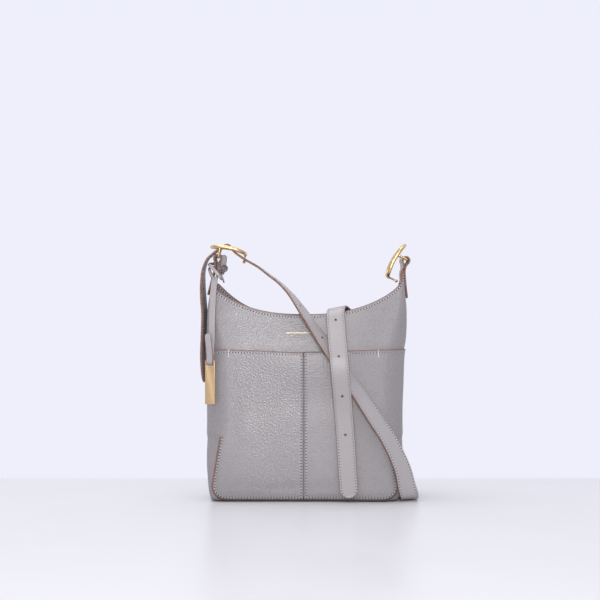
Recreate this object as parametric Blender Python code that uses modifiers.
"""A small leather hobo bag: scooped top, front slip pocket, two brass strap buckles on looped
tabs, one long strap and a hanging brass tag.

Row frame: +Z up, the bag's front faces -Y, and the origin is the middle of the flat base.
Driving sizes are in metres. The bag stands on its base with the strap threaded through the
left buckle and its other end laid over the mouth.
"""

from math import atan2, cos, exp, hypot, pi, sin

import bmesh
import bpy
import numpy as np
from mathutils import Matrix, Vector

MM = 0.001

# Body: half width, half depth and corner radius are functions of height, driven by these.
HALF_WIDTH = 129.0 * MM
BOTTOM_TAPER = 11.5 * MM
TAPER_HEIGHT = 20.0 * MM
SIDE_SLOPE = 0.012
HORN_PINCH = 1.6 * MM
SCOOP_Z = 244.0 * MM
HORN_Z = 300.0 * MM
LEFT_LEAN = 13.0 * MM
LEAN_START_Z = 252.0 * MM
DEPTH_STATIONS = ((0, 36.0), (20, 38.0), (100, 38.0), (180, 34.5), (244, 26.0), (272, 20.5), (300, 16.5))
CORNER_STATIONS = ((0, 14.0), (40, 20.0), (100, 32.0), (180, 30.0), (244, 15.0), (272, 7.5), (300, 4.0))

LEATHER = 1.8 * MM
FACING = 1.2 * MM
LINING = 0.8 * MM
GAP = 0.3 * MM
INNER_GAP = 0.6 * MM

# Front pocket
POCKET_TOP = 195.5 * MM
POCKET_GAPE = 6.2 * MM
POCKET_GAPE_DROP = 75.0 * MM
POCKET_SPLIT = 0.4 * MM

# Base
BASE_THICK = 2.0 * MM
BOARD_THICK = 1.5 * MM

# Strap and tabs
STRAP_WIDTH = 24.0 * MM
STRAP_THICK = 3.0 * MM
HOLE_RADIUS = 1.6 * MM
HOLE_PITCH = 52.0 * MM
HOLES_PER_END = 7
HOLES_PAST_STUD = 3
FIRST_HOLE_HANGING = 83.0 * MM
TAB_WIDTH = 23.0 * MM
TAB_THICK = 1.9 * MM
TAB_LOOP_RADIUS = 5.0 * MM
TAB_EYE_DROP = 1.2 * MM
TAB_TAIL = 35.0 * MM
TAB_INNER_TAIL = 24.0 * MM

# Buckles, in their own frame: the pivot bar is the origin, q runs along the frame from the
# heel to the stud, p stands square to the frame.
FRAME_TUBE = 2.1 * MM
FRAME_HALF_WIDTH = 16.9 * MM
HEEL_Q = -11.0 * MM
STUD_Q = 34.0 * MM
FRAME_CORNER = 12.0 * MM
FRAME_P = 14.2 * MM
ARCH_RADIUS = 80.0 * MM
ARCH_Q = 11.5 * MM
CENTRE_BAR_Q = 7.6 * MM
CENTRE_BAR_RADIUS = 1.5 * MM
BAIL_RADIUS = 1.1 * MM
BAIL_HALF_WIDTH = 15.2 * MM
STUD_SHAFT_RADIUS = 1.2 * MM
STUD_BALL_RADIUS = 2.15 * MM
STUD_LENGTH = 12.8 * MM

RIGHT_BAR = Vector((134.0, 0.0, 316.0)) * MM
RIGHT_FRAME_TURN = 116.6 * pi / 180
LEFT_BAR = Vector((-114.5, 0.0, 319.3)) * MM
LEFT_FRAME_TURN = 11.0 * pi / 180
SPLIT_RADIUS = 38.6 * MM
RUN_CLEARANCE = 1.6 * MM
SHORTEST_SEGMENT = 1.5 * MM

# Snap
SNAP_RADIUS = 9.0 * MM
SNAP_DROP = 19.0 * MM

# Hanging tag
TAG_STRIP_WIDTH = 8.6 * MM
TAG_STRIP_THICK = 1.6 * MM
TAG_WIDTH = 12.6 * MM
TAG_HEIGHT = 56.0 * MM
TAG_THICK = 1.8 * MM
TAG_LIP = 2.2 * MM
TAG_SLOT_WIDTH = 9.6 * MM
TAG_SLOT_HEIGHT = 4.0 * MM
TAG_FOLD_RADIUS = 2.7 * MM
TAG_TILT = 12.0 * pi / 180

GREY_LEATHER = (0.40, 0.37, 0.38)
DARK_LINING = (0.30, 0.27, 0.26)
BRASS = (0.78, 0.56, 0.24)
PALE_BRASS = (0.85, 0.62, 0.36)
STEEL = (0.62, 0.60, 0.56)
BOARD = (0.22, 0.20, 0.19)


# ---------------------------------------------------------------- scene and materials


def clear_scene():
    for obj in list(bpy.data.objects):
        bpy.data.objects.remove(obj)


def make_material(name, colour, roughness, metallic=0.0):
    material = bpy.data.materials.new(name)
    material.use_nodes = True
    shader = material.node_tree.nodes["Principled BSDF"]
    shader.inputs["Base Color"].default_value = (*colour, 1.0)
    shader.inputs["Roughness"].default_value = roughness
    shader.inputs["Metallic"].default_value = metallic
    return material


def make_collection(name):
    collection = bpy.data.collections.new(name)
    bpy.context.scene.collection.children.link(collection)
    return collection


def add_object(name, mesh, material, collection):
    obj = bpy.data.objects.new(name, mesh)
    collection.objects.link(obj)
    mesh.materials.append(material)
    if isinstance(mesh, bpy.types.Mesh):
        mesh.shade_smooth()
        mesh.set_sharp_from_angle(angle=0.6)
    return obj


def solidify(obj, thickness, offset):
    modifier = obj.modifiers.new("Solidify", "SOLIDIFY")
    modifier.thickness = thickness
    modifier.offset = offset
    modifier.use_even_offset = True
    return modifier


def boolean(obj, cutter, operation):
    modifier = obj.modifiers.new(operation.title(), "BOOLEAN")
    modifier.operation = operation
    modifier.object = cutter
    return modifier


def hide_helper(obj):
    obj.hide_render = True
    obj.display_type = "WIRE"


# ---------------------------------------------------------------- body surface


def between(stations, z):
    """A smooth value through stations of (height, size), both in millimetres."""
    height = z / MM
    for (low, a), (high, b) in zip(stations, stations[1:]):
        if height <= high:
            t = max(0.0, (height - low) / (high - low))
            return (a + (b - a) * t * t * (3 - 2 * t)) * MM
    return stations[-1][1] * MM


def section(z):
    """Half width, half depth and corner radius of the leather's outer face at a height."""
    horn = max(0.0, (z - SCOOP_Z) / (HORN_Z - SCOOP_Z))
    half_width = HALF_WIDTH + SIDE_SLOPE * z - BOTTOM_TAPER * exp(-z / TAPER_HEIGHT) - HORN_PINCH * horn
    return half_width, between(DEPTH_STATIONS, z), between(CORNER_STATIONS, z)


def lean(z):
    """How far the left horn leans towards the middle, pulled by the strap's weight."""
    rise = max(0.0, (z - LEAN_START_Z) / (HORN_Z - LEAN_START_Z))
    return LEFT_LEAN * rise**1.5


FLAT_END, ARC_END = 0.60, 0.88
SEAM_HALF = 0.2 * MM


def plan_point(s, z, offset):
    """x and -y of the front wall: s is 0 at the middle of the front and 1 at the right side."""
    half_width, half_depth, radius = section(z)
    t = abs(s)
    flat = half_width - radius
    if t <= FLAT_END:
        x, y = flat * t / FLAT_END, half_depth + offset
    elif t <= ARC_END:
        angle = (t - FLAT_END) / (ARC_END - FLAT_END) * pi / 2
        x = flat + (radius + offset) * sin(angle)
        y = half_depth - radius + (radius + offset) * cos(angle)
    else:
        x = half_width + offset
        y = SEAM_HALF + (half_depth - radius - SEAM_HALF) * (1 - t) / (1 - ARC_END)
    return (x if s >= 0 else -x), y


def wall_point(s, z, offset, side):
    """A point of the wall; side is -1 on the front and +1 on the back."""
    x, y = plan_point(s, z, offset)
    if x < 0:
        share = min(1.0, -x / HALF_WIDTH)
        x += lean(z) * share**3
    return Vector((x, side * y, z))


def mouth_height(s):
    """Height of the scooped top edge."""
    x, _ = plan_point(s, SCOOP_Z + 10 * MM, 0.0)
    half_width, _, _ = section(SCOOP_Z + 10 * MM)
    t = min(1.0, abs(x) / half_width)
    return SCOOP_Z + (HORN_Z - SCOOP_Z) * (0.72 * t**2.8 + 0.28 * t**12)


def spread(first, last, count):
    return [first + (last - first) * i / (count - 1) for i in range(count)]


def wall_columns():
    """Values of s across one whole wall, closer together on the corners."""
    half = spread(0.0, FLAT_END, 8)[:-1] + spread(FLAT_END, ARC_END, 6)[:-1] + [ARC_END, 0.95, 1.0]
    return [-s for s in reversed(half[1:])] + half


# Every wall piece shares these rows, so that the layers stay parallel. Up to the pocket's mouth
# the rows are level, and above it they climb in shares to the scooped edge.
LEVELS = (0.4, 5.0, 12.0, 26.0, 50.0, 80.0, 115.0, 140.0, 158.0, 172.0, 184.0, 195.5)
SHARES = (0.2, 0.4, 0.55, 0.7, 0.85, 1.0)
POCKET_ROW = len(LEVELS) - 1
FACING_ROW = POCKET_ROW + 2
TOP_ROW = POCKET_ROW + len(SHARES)


def row_height(row, s):
    """The height of a row at s; rows can be fractions, which lie between two rows."""
    if row > POCKET_ROW:
        place = row - POCKET_ROW
        shares = (0.0, *SHARES)
        low = min(int(place), len(shares) - 2)
        share = shares[low] + (shares[low + 1] - shares[low]) * (place - low)
        return POCKET_TOP + (mouth_height(s) - POCKET_TOP) * share
    low = min(int(row), len(LEVELS) - 2)
    return (LEVELS[low] + (LEVELS[low + 1] - LEVELS[low]) * (row - low)) * MM


def rows_between(first, last):
    """The rows from first to last, which can themselves be fractions."""
    inner = [row for row in range(TOP_ROW + 1) if first + 0.01 < row < last - 0.01]
    return [first, *inner, last]


def grid_mesh(name, rows, flip=False):
    """A sheet of quads from rows of points."""
    mesh = bpy.data.meshes.new(name)
    bm = bmesh.new()
    grid = [[bm.verts.new(p) for p in row] for row in rows]
    for low, high in zip(grid, grid[1:]):
        for i in range(len(low) - 1):
            corners = (low[i], low[i + 1], high[i + 1], high[i])
            bm.faces.new(corners[::-1] if flip else corners)
    bm.to_mesh(mesh)
    bm.free()
    return mesh


def wall_sheet(name, columns, rows, offset, side):
    """A sheet along the wall whose faces point out of the bag."""
    points = []
    for row in rows:
        line = []
        for s in columns:
            z = row_height(row, s)
            line.append(wall_point(s, z, offset(s, z), side))
        points.append(line)
    return grid_mesh(name, points, flip=side > 0)


# ---------------------------------------------------------------- body pieces


def build_walls(leather, collection):
    for name, side in (("front_panel", -1), ("back_panel", 1)):
        mesh = wall_sheet(name, wall_columns(), rows_between(0, TOP_ROW), lambda s, z: 0.0, side)
        solidify(add_object(name, mesh, leather, collection), LEATHER, -1)


def pocket_offset(s, z):
    """The pocket's inner face stands off the panel, most at the middle of its mouth."""
    along = max(0.0, 1 - (abs(s) / 0.5) ** 4)
    down = max(0.0, 1 - (POCKET_TOP - z) / POCKET_GAPE_DROP)
    return GAP + POCKET_GAPE * along * down * down * (3 - 2 * down)


def build_pocket(leather, collection):
    half = [s for s in wall_columns() if s > 0]
    split = POCKET_SPLIT / HALF_WIDTH
    for name, sign in (("pocket_left", -1), ("pocket_right", 1)):
        columns = sorted(sign * s for s in [split, *half])
        mesh = wall_sheet(name, columns, rows_between(0.15, POCKET_ROW), pocket_offset, -1)
        solidify(add_object(name, mesh, leather, collection), LEATHER, 1)


def outline_at(z, offset):
    """The closed outline of the wall at a height, anticlockwise from above."""
    columns = wall_columns()[1:-1]
    front = [wall_point(s, z, offset, -1) for s in columns]
    back = [wall_point(s, z, offset, 1) for s in reversed(columns)]
    return front + back


def plate(name, outline, z, thickness, material, collection):
    """A flat plate with this outline, its underside at z."""
    mesh = bpy.data.meshes.new(name)
    bm = bmesh.new()
    bm.faces.new([bm.verts.new((p.x, p.y, z)) for p in outline])
    bm.to_mesh(mesh)
    bm.free()
    obj = add_object(name, mesh, material, collection)
    solidify(obj, thickness, 1)
    return obj


def build_base(leather, board, collection):
    inside = -LEATHER - GAP - 0.4 * MM
    plate("base_panel", outline_at(0.0, inside), 0.0, BASE_THICK, leather, collection)
    board_z = BASE_THICK + GAP
    plate("base_board", outline_at(0.0, inside - 1.2 * MM), board_z, BOARD_THICK, board, collection)


def build_lining(fabric, collection):
    """One open-topped bag of fabric: a wall right round and a floor."""
    columns = wall_columns()[1:-1]
    ring = [(s, -1) for s in columns] + [(s, 1) for s in reversed(columns)]
    bm = bmesh.new()
    levels = []
    for row in rows_between(1.0, FACING_ROW - 0.04):
        level = []
        for s, side in ring:
            level.append(bm.verts.new(wall_point(s, row_height(row, s), -LEATHER - INNER_GAP, side)))
        levels.append(level)
    count = len(ring)
    for low, high in zip(levels, levels[1:]):
        for i in range(count):
            j = (i + 1) % count
            bm.faces.new((low[i], low[j], high[j], high[i]))
    bm.faces.new(levels[0][::-1])
    mesh = bpy.data.meshes.new("lining")
    bm.to_mesh(mesh)
    bm.free()
    solidify(add_object("lining", mesh, fabric, collection), LINING, -1)


def build_facings(leather, collection):
    """The leather bands that line the mouth, front and back."""
    columns = wall_columns()
    columns = [s for s in columns if abs(s) <= ARC_END]
    for name, side in (("front_facing", -1), ("back_facing", 1)):
        rows = rows_between(FACING_ROW, TOP_ROW)
        mesh = wall_sheet(name, columns, rows, lambda s, z: -LEATHER - INNER_GAP, side)
        solidify(add_object(name, mesh, leather, collection), FACING, -1)


# ---------------------------------------------------------------- ribbons


def smooth_path(points, steps):
    """Rows of numbers along a smooth curve through these rows, spaced by the first three numbers."""
    points = [np.array(point, float) for point in points]
    ends = [2 * points[0] - points[1], *points, 2 * points[-1] - points[-2]]
    path = []
    for before, start, end, after in zip(ends, ends[1:], ends[2:], ends[3:]):
        d0 = np.linalg.norm(start[:3] - before[:3]) ** 0.5
        d1 = np.linalg.norm(end[:3] - start[:3]) ** 0.5
        d2 = np.linalg.norm(after[:3] - end[:3]) ** 0.5
        leave = (start - before) / d0 - (end - before) / (d0 + d1) + (end - start) / d1
        arrive = (end - start) / d1 - (after - start) / (d1 + d2) + (after - end) / d2
        for k in range(steps):
            t = k / steps
            share = 3 * t**2 - 2 * t**3
            curve = (t**3 - 2 * t**2 + t) * d1 * leave + (t**3 - t**2) * d1 * arrive
            path.append((1 - share) * start + share * end + curve)
    path.append(points[-1])
    return path


def tangent_at(points, i):
    low, high = max(0, i - 1), min(len(points) - 1, i + 1)
    return (points[high] - points[low]).normalized()


def ribbon_mesh(name, centres, sides, width):
    """A flat strip of this width along the centres. A side is the direction across the strip."""
    rows = []
    for i, (centre, side) in enumerate(zip(centres, sides)):
        along = tangent_at(centres, i)
        across = (side - along * side.dot(along)).normalized()
        rows.append([centre - across * width / 2, centre + across * width / 2])
    return grid_mesh(name, rows)


def strip_in_plane(name, points, width, thickness, steps, material, collection):
    """A strip whose path lies in the XZ plane and whose width is along Y."""
    path = [Vector(row) for row in smooth_path(points, steps)]
    mesh = ribbon_mesh(name, path, [Vector((0, 1, 0))] * len(path), width)
    solidify(add_object(name, mesh, material, collection), thickness, 0)


# ---------------------------------------------------------------- tabs


def horn_middle(side, drop):
    """The middle of the side seam's leather, this far below the horn's top."""
    point = wall_point(0.999 * side, HORN_Z - drop, -LEATHER / 2, -1)
    return Vector((point.x, 0, point.z))


def build_tab(name, side, bar, leather, collection):
    """A strip folded over the buckle's bar, its two ends either side of the horn's leather."""
    top = horn_middle(side, 0.0)
    hold = LEATHER / 2 + GAP + TAB_THICK / 2
    eye = bar - Vector((0, 0, TAB_EYE_DROP))
    neck = TAB_THICK / 2 + 0.2 * MM
    rise = (eye - top).normalized()
    across = Vector((rise.z, 0, -rise.x)) * side
    reach = (eye - top).length

    def on_horn(drop, offset):
        middle = horn_middle(side, drop)
        slope = (middle - horn_middle(side, drop + 4 * MM)).normalized()
        return middle + Vector((slope.z, 0, -slope.x)) * side * offset

    points = [on_horn(TAB_TAIL * share, hold + 0.2 * MM) for share in (1.0, 0.7, 0.38, 0.06)]
    points.append(top + rise * 0.45 * reach + across * (neck + 0.3 * MM))
    points.append(top + rise * 0.60 * reach + across * (neck + 1.0 * MM))
    for turn in (-15, 25, 60, 90, 120, 155, 195):
        angle = turn * pi / 180
        spoke = across * cos(angle) + rise * sin(angle)
        points.append(eye + spoke * TAB_LOOP_RADIUS)
    points.append(top + rise * 0.60 * reach - across * (neck + 1.0 * MM))
    points.append(top + rise * 0.45 * reach - across * (neck + 0.3 * MM))
    points += [on_horn(TAB_INNER_TAIL * share, -hold - 0.3 * MM) for share in (0.05, 0.5, 1.0)]
    strip_in_plane(name, points, TAB_WIDTH, TAB_THICK, 3, leather, collection)


# ---------------------------------------------------------------- buckles


def frame_height(q):
    return FRAME_P - (q - ARCH_Q) ** 2 / (2 * ARCH_RADIUS)


def poly_curve(name, points, radius, closed, resolution):
    """A round bar along these points, as a mesh with welded caps."""
    curve = bpy.data.curves.new(name, "CURVE")
    curve.dimensions = "3D"
    curve.bevel_depth = radius
    curve.bevel_resolution = resolution
    curve.use_fill_caps = True
    spline = curve.splines.new("POLY")
    spline.points.add(len(points) - 1)
    for point, place in zip(spline.points, points):
        point.co = (*place, 1.0)
    spline.use_cyclic_u = closed
    obj = bpy.data.objects.new(name, curve)
    bpy.context.scene.collection.objects.link(obj)
    graph = bpy.context.evaluated_depsgraph_get()
    mesh = bpy.data.meshes.new_from_object(obj.evaluated_get(graph))
    bpy.data.objects.remove(obj)
    bm = bmesh.new()
    bm.from_mesh(mesh)
    bmesh.ops.remove_doubles(bm, verts=bm.verts, dist=1e-6)
    bm.to_mesh(mesh)
    bm.free()
    return mesh


def buckle_outline():
    """The frame's centre line: a rounded rectangle in q and y, arched in p."""
    corners = (
        (STUD_Q - FRAME_CORNER, FRAME_HALF_WIDTH - FRAME_CORNER, 0.0),
        (HEEL_Q + FRAME_CORNER, FRAME_HALF_WIDTH - FRAME_CORNER, pi / 2),
        (HEEL_Q + FRAME_CORNER, FRAME_CORNER - FRAME_HALF_WIDTH, pi),
        (STUD_Q - FRAME_CORNER, FRAME_CORNER - FRAME_HALF_WIDTH, 3 * pi / 2),
    )
    points = []
    for q0, y0, start in corners:
        for angle in spread(start, start + pi / 2, 6):
            points.append((q0 + FRAME_CORNER * cos(angle), y0 + FRAME_CORNER * sin(angle)))
        if start in (0.0, pi):
            # The rails are arched, so each has points along it.
            next_q = HEEL_Q + FRAME_CORNER if start == 0.0 else STUD_Q - FRAME_CORNER
            y = points[-1][1]
            points += [(q0 + (next_q - q0) * t, y) for t in (0.25, 0.5, 0.75)]
    return [Vector((q, y, frame_height(q))) for q, y in points]


def place_buckle_part(name, mesh, material, collection, holder):
    obj = add_object(name, mesh, material, collection)
    obj.parent = holder
    return obj


def build_buckle(side_name, bar, turn, mirror, brass, collection, cutters):
    """A frame with a centre bar, the bail that hinges in the tab, and the stud that locks a hole."""
    holder = bpy.data.objects.new(side_name + "_buckle_pivot", None)
    collection.objects.link(holder)
    holder.location = bar
    holder.rotation_euler = (0, turn, 0)
    # In the holder's frame x is q and z is p; the right buckle's p points the other way round.
    flip = Matrix.Diagonal((1, 1, -1 if mirror else 1, 1))

    def finish(mesh):
        mesh.transform(flip)
        if mirror:
            mesh.flip_normals()
        return mesh

    frame = poly_curve("ring", buckle_outline(), FRAME_TUBE, True, 2)
    bar_height = frame_height(CENTRE_BAR_Q)
    bar_points = [Vector((CENTRE_BAR_Q, y, bar_height)) for y in (-FRAME_HALF_WIDTH, 0, FRAME_HALF_WIDTH)]
    crossing = poly_curve("crossing", bar_points, CENTRE_BAR_RADIUS, False, 2)
    frame_obj = place_buckle_part(side_name + "_buckle_frame", finish(frame), brass, collection, holder)
    helper = bpy.data.objects.new(side_name + "_crossing", finish(crossing))
    cutters.objects.link(helper)
    helper.parent = holder
    hide_helper(helper)
    boolean(frame_obj, helper, "UNION")

    leg_top = frame_height(0.0) - FRAME_TUBE - GAP
    bend = 2.2 * MM
    right = [Vector((0, BAIL_HALF_WIDTH, leg_top)), Vector((0, BAIL_HALF_WIDTH, leg_top / 2))]
    for angle in spread(0.0, pi / 2, 5):
        y = BAIL_HALF_WIDTH - bend + bend * cos(angle)
        right.append(Vector((0, y, bend - bend * sin(angle))))
    left = [Vector((p.x, -p.y, p.z)) for p in reversed(right)]
    bail = poly_curve("bail", right + left, BAIL_RADIUS, False, 2)
    place_buckle_part(side_name + "_buckle_bail", finish(bail), brass, collection, holder)

    stud_top = frame_height(STUD_Q) - FRAME_TUBE - GAP
    stud = turned_profile(stud_profile(stud_top), 12)
    stud.transform(Matrix.Translation((STUD_Q, 0, 0)))
    place_buckle_part(side_name + "_buckle_stud", finish(stud), brass, collection, holder)


def stud_profile(top):
    """Radius and height down the stud: a collar under the frame, a thin shaft and a ball."""
    tip = frame_height(STUD_Q) - STUD_LENGTH
    ball_middle = tip + STUD_BALL_RADIUS
    profile = [(0.0, top), (1.9 * MM, top), (1.9 * MM, top - 0.7 * MM), (STUD_SHAFT_RADIUS, top - 0.9 * MM)]
    for angle in spread(0.19 * pi, pi, 7):
        radius = STUD_BALL_RADIUS * sin(angle)
        profile.append((max(0.0, radius), ball_middle + STUD_BALL_RADIUS * cos(angle)))
    profile[-1] = (0.0, tip)
    return profile


def turned_profile(profile, steps):
    """A solid turned about Z from radius and height, both ends on the axis."""
    mesh = bpy.data.meshes.new("profile")
    bm = bmesh.new()
    verts = [bm.verts.new((radius, 0, z)) for radius, z in profile]
    edges = [bm.edges.new(pair) for pair in zip(verts, verts[1:])]
    bmesh.ops.spin(
        bm, geom=[*verts, *edges], axis=(0, 0, 1), cent=(0, 0, 0), steps=steps, angle=2 * pi, use_merge=True
    )
    bmesh.ops.remove_doubles(bm, verts=bm.verts, dist=1e-7)
    bmesh.ops.recalc_face_normals(bm, faces=bm.faces)
    bm.to_mesh(mesh)
    bm.free()
    return mesh


# ---------------------------------------------------------------- strap


def buckle_place(q, p):
    """A point of the left buckle's frame in the row frame, in millimetres."""
    x = LEFT_BAR.x / MM + q * cos(LEFT_FRAME_TURN) + p * sin(LEFT_FRAME_TURN)
    z = LEFT_BAR.z / MM - q * sin(LEFT_FRAME_TURN) + p * cos(LEFT_FRAME_TURN)
    return x, z


# The strap's route in millimetres: x, y, z of its middle, then the direction across it. It starts
# at the tip of the tail, weaves through the left buckle, crosses the front to the floor at the
# right, climbs behind the bag and comes over the mouth to hang down the front.
TAIL_ROUTE = (
    (-135.4, 0.0, 157.0, 0.20, 0.98, 0.0),
    (-136.8, 0.0, 172.0, 0.20, 0.98, 0.0),
    (-137.8, 0.0, 190.0, 0.18, 0.98, 0.0),
    (-137.6, 0.0, 215.0, 0.15, 0.99, 0.0),
    (-137.4, 0.0, 244.0, 0.13, 0.99, 0.0),
    (-138.6, 0.0, 266.0, 0.10, 0.995, 0.0),
    (-138.2, 0.0, 286.0, 0.06, 1.0, 0.0),
    (-135.6, 0.0, 303.0, 0.02, 1.0, 0.0),
)
# Through the buckle in its own q and p, from the heel to past the stud.
BUCKLE_ROUTE = (
    (-14.2, -4.6), (-9.2, 2.2), (-4.2, 8.2), (0.2, 13.2), (3.6, 17.0), (7.6, 18.6),
    (11.6, 17.0), (15.2, 13.4), (20.0, 10.4), (27.0, 7.4), (35.0, 4.3),
)
RUN_ROUTE = (
    (-61.5, -3.5, 308.5, 0.01, 1.0, 0.01),
    (-48.1, -9.0, 298.5, 0.03, 0.998, 0.03),
    (-31.7, -18.0, 285.0, 0.06, 0.997, 0.05),
    (-17.7, -27.5, 269.5, 0.15, 0.984, 0.10),
    (-2.6, -38.5, 248.4, 0.31, 0.933, 0.185),
    (11.1, -45.0, 228.1, 0.386, 0.893, 0.232),
    (25.4, -50.0, 207.7, 0.492, 0.80, 0.342),
    (38.5, -53.3, 188.5, 0.525, 0.768, 0.365),
    (53.0, -52.7, 166.5, 0.56, 0.738, 0.375),
    (67.9, -50.8, 144.8, 0.596, 0.704, 0.383),
    (92.2, -49.5, 107.5, 0.67, 0.626, 0.398),
    (105.3, -47.5, 86.4, 0.704, 0.60, 0.376),
    (119.8, -46.0, 56.0, 0.79, 0.51, 0.344),
    (127.0, -44.0, 39.6, 0.846, 0.436, 0.306),
    (132.8, -41.0, 21.6, 0.92, 0.312, 0.237),
    (135.0, -37.0, 9.5, 0.955, 0.12, 0.20),
    (135.2, -30.0, 4.2, 0.975, 0.03, 0.10),
    (135.4, -20.0, 2.8, 0.98, 0.0, 0.06),
    (136.0, 5.0, 2.8, 0.98, 0.0, 0.06),
    (136.5, 32.0, 3.2, 0.98, -0.02, 0.08),
    (135.5, 52.0, 7.0, 0.98, -0.03, 0.14),
    (131.5, 61.0, 20.0, 0.97, -0.02, 0.22),
    (125.0, 60.5, 40.0, 0.955, 0.0, 0.29),
    (111.0, 53.0, 82.0, 0.95, 0.0, 0.31),
    (97.0, 47.0, 128.0, 0.95, 0.0, 0.31),
    (83.0, 42.5, 172.0, 0.95, 0.0, 0.31),
    (70.5, 37.0, 212.0, 0.95, 0.0, 0.31),
    (62.0, 33.5, 238.0, 0.95, 0.0, 0.31),
    (58.3, 30.5, 249.5, 0.95, 0.02, 0.31),
    (55.5, 22.0, 256.0, 0.95, 0.05, 0.31),
    (51.5, 6.0, 257.0, 0.95, 0.08, 0.31),
    (46.5, -12.0, 256.5, 0.95, 0.08, 0.31),
    (42.3, -27.5, 255.0, 0.95, 0.05, 0.31),
    (40.4, -34.0, 250.5, 0.955, 0.02, 0.29),
    (39.9, -37.5, 244.5, 0.965, 0.0, 0.24),
    (40.2, -41.5, 236.5, 0.98, 0.0, 0.18),
    (41.0, -49.0, 222.0, 0.99, 0.0, 0.11),
    (42.2, -58.5, 205.0, 0.995, 0.0, 0.09),
    (43.6, -65.5, 188.0, 0.997, 0.0, 0.077),
    (45.4, -66.5, 168.0, 0.997, 0.0, 0.077),
    (47.4, -61.0, 146.0, 0.997, 0.0, 0.077),
    (49.5, -54.5, 122.0, 0.997, 0.0, 0.077),
    (52.2, -50.0, 88.5, 0.997, 0.0, 0.077),
    (55.6, -47.5, 42.0, 0.997, 0.0, 0.077),
    (58.3, -46.5, 6.0, 0.997, 0.0, 0.077),
)


def route_vectors(rows):
    """Each route row as one vector: place in metres, then the direction across."""
    return [(x * MM, y * MM, z * MM, a, b, c) for x, y, z, a, b, c in rows]


def whole_strap_route():
    through = []
    for q, p in BUCKLE_ROUTE:
        x, z = buckle_place(q, p)
        through.append((x, 0.0, z, 0.0, 1.0, 0.0))
    return route_vectors([*TAIL_ROUTE, *through, *RUN_ROUTE])


def lengths_along(places):
    total, lengths = 0.0, [0.0]
    for a, b in zip(places, places[1:]):
        total += (b - a).length
        lengths.append(total)
    return lengths


def build_strap(leather, collection, cutters):
    """The strap as two solids that end either side of a radius about the left buckle's bar, so that
    the threaded end can swing with the buckle."""
    dense = smooth_path(whole_strap_route(), 3)
    places = [Vector(row[:3]) for row in dense]
    sides = [Vector(row[3:]) for row in dense]
    lengths = lengths_along(places)
    radii = [hypot(p.x - LEFT_BAR.x, p.z - LEFT_BAR.z) for p in places]
    stud_x, stud_z = buckle_place(STUD_Q / MM, 4.5)
    split = next(i for i, p in enumerate(places) if radii[i] > SPLIT_RADIUS and p.x > stud_x * MM)

    def end_at(radius):
        """The place between two samples where the strap crosses this radius."""
        a, b = places[split - 1], places[split]
        ra, rb = radii[split - 1], radii[split]
        t = (radius - ra) / (rb - ra)
        return a.lerp(b, t), sides[split - 1].lerp(sides[split], t)

    tail_end, tail_side = end_at(SPLIT_RADIUS)
    run_start, run_side = end_at(SPLIT_RADIUS + RUN_CLEARANCE)
    # A sample close to the cut is left out, so that no segment is very short.
    kept = split - 1 if radii[split - 1] > SPLIT_RADIUS - SHORTEST_SEGMENT else split
    tail_places = places[:kept] + [tail_end]
    tail_sides = sides[:kept] + [tail_side]
    run_places = [run_start] + places[split:]
    run_sides = [run_side] + sides[split:]
    if (places[split] - run_start).length < SHORTEST_SEGMENT:
        run_places.pop(1)
        run_sides.pop(1)
    tail_mesh = ribbon_mesh("strap_tail", tail_places, tail_sides, STRAP_WIDTH)
    run_mesh = ribbon_mesh("strap_run", run_places, run_sides, STRAP_WIDTH)
    tail = add_object("strap_tail", tail_mesh, leather, collection)
    run = add_object("strap_run", run_mesh, leather, collection)
    solidify(tail, STRAP_THICK, 0)
    solidify(run, STRAP_THICK, 0)

    # The stud's own hole follows the stud, and the others are square to the strap.
    stud_place = Vector((stud_x * MM, 0, stud_z * MM))
    stud_axis = Vector((sin(LEFT_FRAME_TURN), 0, cos(LEFT_FRAME_TURN)))
    stud_at = min(range(len(places)), key=lambda i: (places[i] - stud_place).length)
    stud_length = lengths[stud_at]
    steps = [k for k in range(-HOLES_PAST_STUD, HOLES_PER_END - HOLES_PAST_STUD) if k]
    spots = [stud_length + k * HOLE_PITCH for k in steps]
    spots += [lengths[-1] - FIRST_HOLE_HANGING - k * HOLE_PITCH for k in range(HOLES_PER_END)]
    add_hole(tail, stud_place, stud_axis, HOLE_RADIUS + 0.5 * MM, cutters, "stud_hole")
    for number, spot in enumerate(spots):
        i = next(k for k, s in enumerate(lengths) if s >= spot)
        t = (spot - lengths[i - 1]) / (lengths[i] - lengths[i - 1])
        place = places[i - 1].lerp(places[i], t)
        normal = (places[i] - places[i - 1]).cross(sides[i]).normalized()
        piece = tail if spot < stud_length else run
        add_hole(piece, place, normal, HOLE_RADIUS, cutters, f"strap_hole_{number}")


def add_hole(obj, place, axis, radius, cutters, name):
    mesh = bpy.data.meshes.new(name)
    bm = bmesh.new()
    bmesh.ops.create_cone(
        bm, cap_ends=True, segments=10, radius1=radius, radius2=radius, depth=4 * STRAP_THICK
    )
    bm.to_mesh(mesh)
    bm.free()
    cutter = bpy.data.objects.new(name, mesh)
    cutters.objects.link(cutter)
    cutter.rotation_mode = "QUATERNION"
    cutter.rotation_quaternion = axis.to_track_quat("Z", "Y")
    cutter.location = place
    hide_helper(cutter)
    boolean(obj, cutter, "DIFFERENCE")


# ---------------------------------------------------------------- snap


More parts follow.
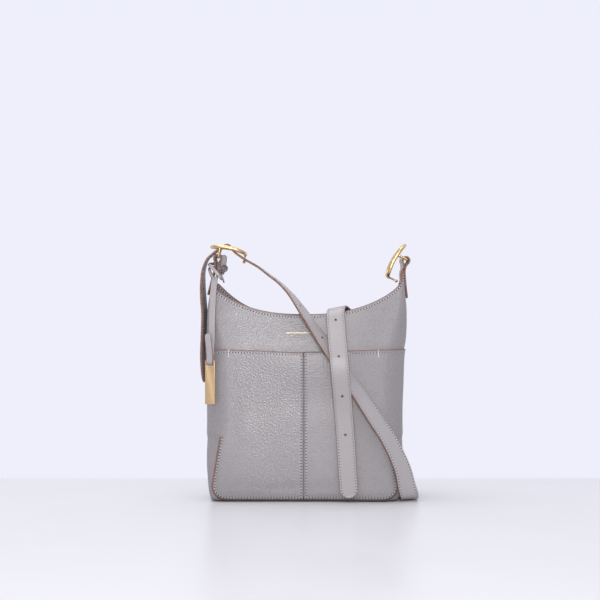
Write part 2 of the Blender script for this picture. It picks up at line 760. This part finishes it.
def build_snap(steel, collection):
    """The two halves of the magnetic snap, each a turned disc square to its facing."""
    z = SCOOP_Z - SNAP_DROP
    inset = LEATHER + GAP + FACING + GAP
    slope = between(DEPTH_STATIONS, z - 5 * MM) - between(DEPTH_STATIONS, z + 5 * MM)
    tilt = atan2(slope, 10 * MM)
    rim = SNAP_RADIUS / MM
    male = [(0.0, 3.4), (3.0, 3.4), (3.4, 3.0), (3.4, 1.8)]
    male += [(rim - 0.8, 1.8), (rim, 1.2), (rim, 0.0), (0.0, 0.0)]
    female = [(0.0, 1.0), (3.9, 1.0), (3.9, 2.6), (rim - 1.0, 2.6), (rim, 1.8), (rim, 0.0), (0.0, 0.0)]
    for name, profile, side in (("snap_front", male, -1), ("snap_back", female, 1)):
        mesh = turned_profile([(r * MM, h * MM) for r, h in profile], 20)
        obj = add_object(name, mesh, steel, collection)
        # The disc's axis points from the facing into the bag.
        axis = Vector((0, -side * cos(tilt), -sin(tilt)))
        obj.rotation_mode = "QUATERNION"
        obj.rotation_quaternion = axis.to_track_quat("Z", "X")
        depth = between(DEPTH_STATIONS, z)
        wall = Vector((0, side * depth, z))
        obj.location = wall + axis * (inset + 0.35 * MM)


# ---------------------------------------------------------------- hanging tag


TAG_PIVOT = Vector((-118.5, -17.8, 294.5)) * MM
TAG_FOLD = Vector((-123.6, -38.5, 183.0)) * MM


def tag_side():
    return Vector((cos(TAG_TILT), -sin(TAG_TILT), 0))


def build_tag(leather, brass, collection, cutters):
    """A leather strip that hangs from a loop round the left tab, folded up through a brass bar."""
    side = tag_side()
    front = Vector((-sin(TAG_TILT), -cos(TAG_TILT), 0))
    route = (
        TAG_PIVOT - Vector((0, 0, 1.2 * MM)),
        TAG_PIVOT.lerp(TAG_FOLD, 0.22) + front * 3.2 * MM,
        TAG_PIVOT.lerp(TAG_FOLD, 0.50) + front * 4.0 * MM,
        TAG_PIVOT.lerp(TAG_FOLD, 0.76) + front * 1.6 * MM,
        TAG_FOLD + Vector((0, 0, 6 * MM)) - front * TAG_FOLD_RADIUS,
    )
    path = [Vector(row) for row in smooth_path(route, 3)]
    for angle in spread(0.0, pi, 8)[:-1]:
        across = front * -cos(angle) - Vector((0, 0, sin(angle)))
        path.append(TAG_FOLD + across * TAG_FOLD_RADIUS)
    for rise, push in ((3.0, 0.0), (12.0, 0.2), (24.0, 0.6), (35.0, 0.4)):
        path.append(TAG_FOLD + Vector((0, 0, rise * MM)) + front * (TAG_FOLD_RADIUS + push * MM))
    mesh = ribbon_mesh("tag_strap", path, [side] * len(path), TAG_STRIP_WIDTH)
    solidify(add_object("tag_strap", mesh, leather, collection), TAG_STRIP_THICK, 0)

    # The lip over the bar's slot lies in the fold, centred on it, so that the bar can swing.
    bar_top = TAG_FOLD.z + TAG_LIP / 2
    bar = add_object("tag_bar", box_mesh("tag_bar", TAG_WIDTH, TAG_THICK, TAG_HEIGHT), brass, collection)
    bar.location = (TAG_FOLD.x, TAG_FOLD.y, bar_top - TAG_HEIGHT / 2)
    bar.rotation_euler = (0, 0, -TAG_TILT)
    slot_mesh = box_mesh("tag_slot", TAG_SLOT_WIDTH, 4 * TAG_THICK, TAG_SLOT_HEIGHT)
    slot = bpy.data.objects.new("tag_slot", slot_mesh)
    cutters.objects.link(slot)
    slot.location = (TAG_FOLD.x, TAG_FOLD.y, bar_top - TAG_LIP - TAG_SLOT_HEIGHT / 2)
    slot.rotation_euler = (0, 0, -TAG_TILT)
    hide_helper(slot)
    boolean(bar, slot, "DIFFERENCE")


def box_mesh(name, x, y, z):
    mesh = bpy.data.meshes.new(name)
    bm = bmesh.new()
    bmesh.ops.create_cube(bm, size=1.0)
    bm.to_mesh(mesh)
    bm.free()
    mesh.transform(Matrix.Diagonal((x, y, z, 1)))
    return mesh


LOOP_CENTRE = Vector((-117.0, 0.0, 303.0)) * MM


def build_tag_loop(leather, collection):
    """The strip that wraps the left tab's neck and holds the tag's strap, its free end hanging."""
    half_x, half_y = 6.4 * MM, 16.2 * MM
    turn = 0.30
    points = []
    for angle in spread(-0.62 * pi, 1.28 * pi, 16):
        x = half_x * cos(angle) * (1.6 if cos(angle) > 0 else 1.0)
        y = half_y * sin(angle)
        z = -turn * x - 0.05 * y
        points.append(LOOP_CENTRE + Vector((x, y, z)))
    mesh = ribbon_mesh("tag_loop", points, [Vector((0.25, 0, 1)).normalized()] * len(points), 7.0 * MM)
    solidify(add_object("tag_loop", mesh, leather, collection), TAG_STRIP_THICK, 0)


def main():
    clear_scene()
    bag = make_collection("hobo_bag")
    cutters = make_collection("cutters")
    leather = make_material("leather", GREY_LEATHER, 0.5)
    fabric = make_material("lining", DARK_LINING, 0.9)
    brass = make_material("brass", BRASS, 0.3, 1.0)
    pale_brass = make_material("tag_brass", PALE_BRASS, 0.35, 1.0)
    steel = make_material("snap_metal", STEEL, 0.3, 1.0)
    board = make_material("board", BOARD, 0.9)
    build_walls(leather, bag)
    build_pocket(leather, bag)
    build_base(leather, board, bag)
    build_lining(fabric, bag)
    build_facings(leather, bag)
    build_tab("left_tab", -1, LEFT_BAR, leather, bag)
    build_tab("right_tab", 1, RIGHT_BAR, leather, bag)
    build_buckle("left", LEFT_BAR, LEFT_FRAME_TURN, False, brass, bag, cutters)
    build_buckle("right", RIGHT_BAR, RIGHT_FRAME_TURN, True, brass, bag, cutters)
    build_strap(leather, bag, cutters)
    build_snap(steel, bag)
    build_tag_loop(leather, bag)
    build_tag(leather, pale_brass, bag, cutters)


main()
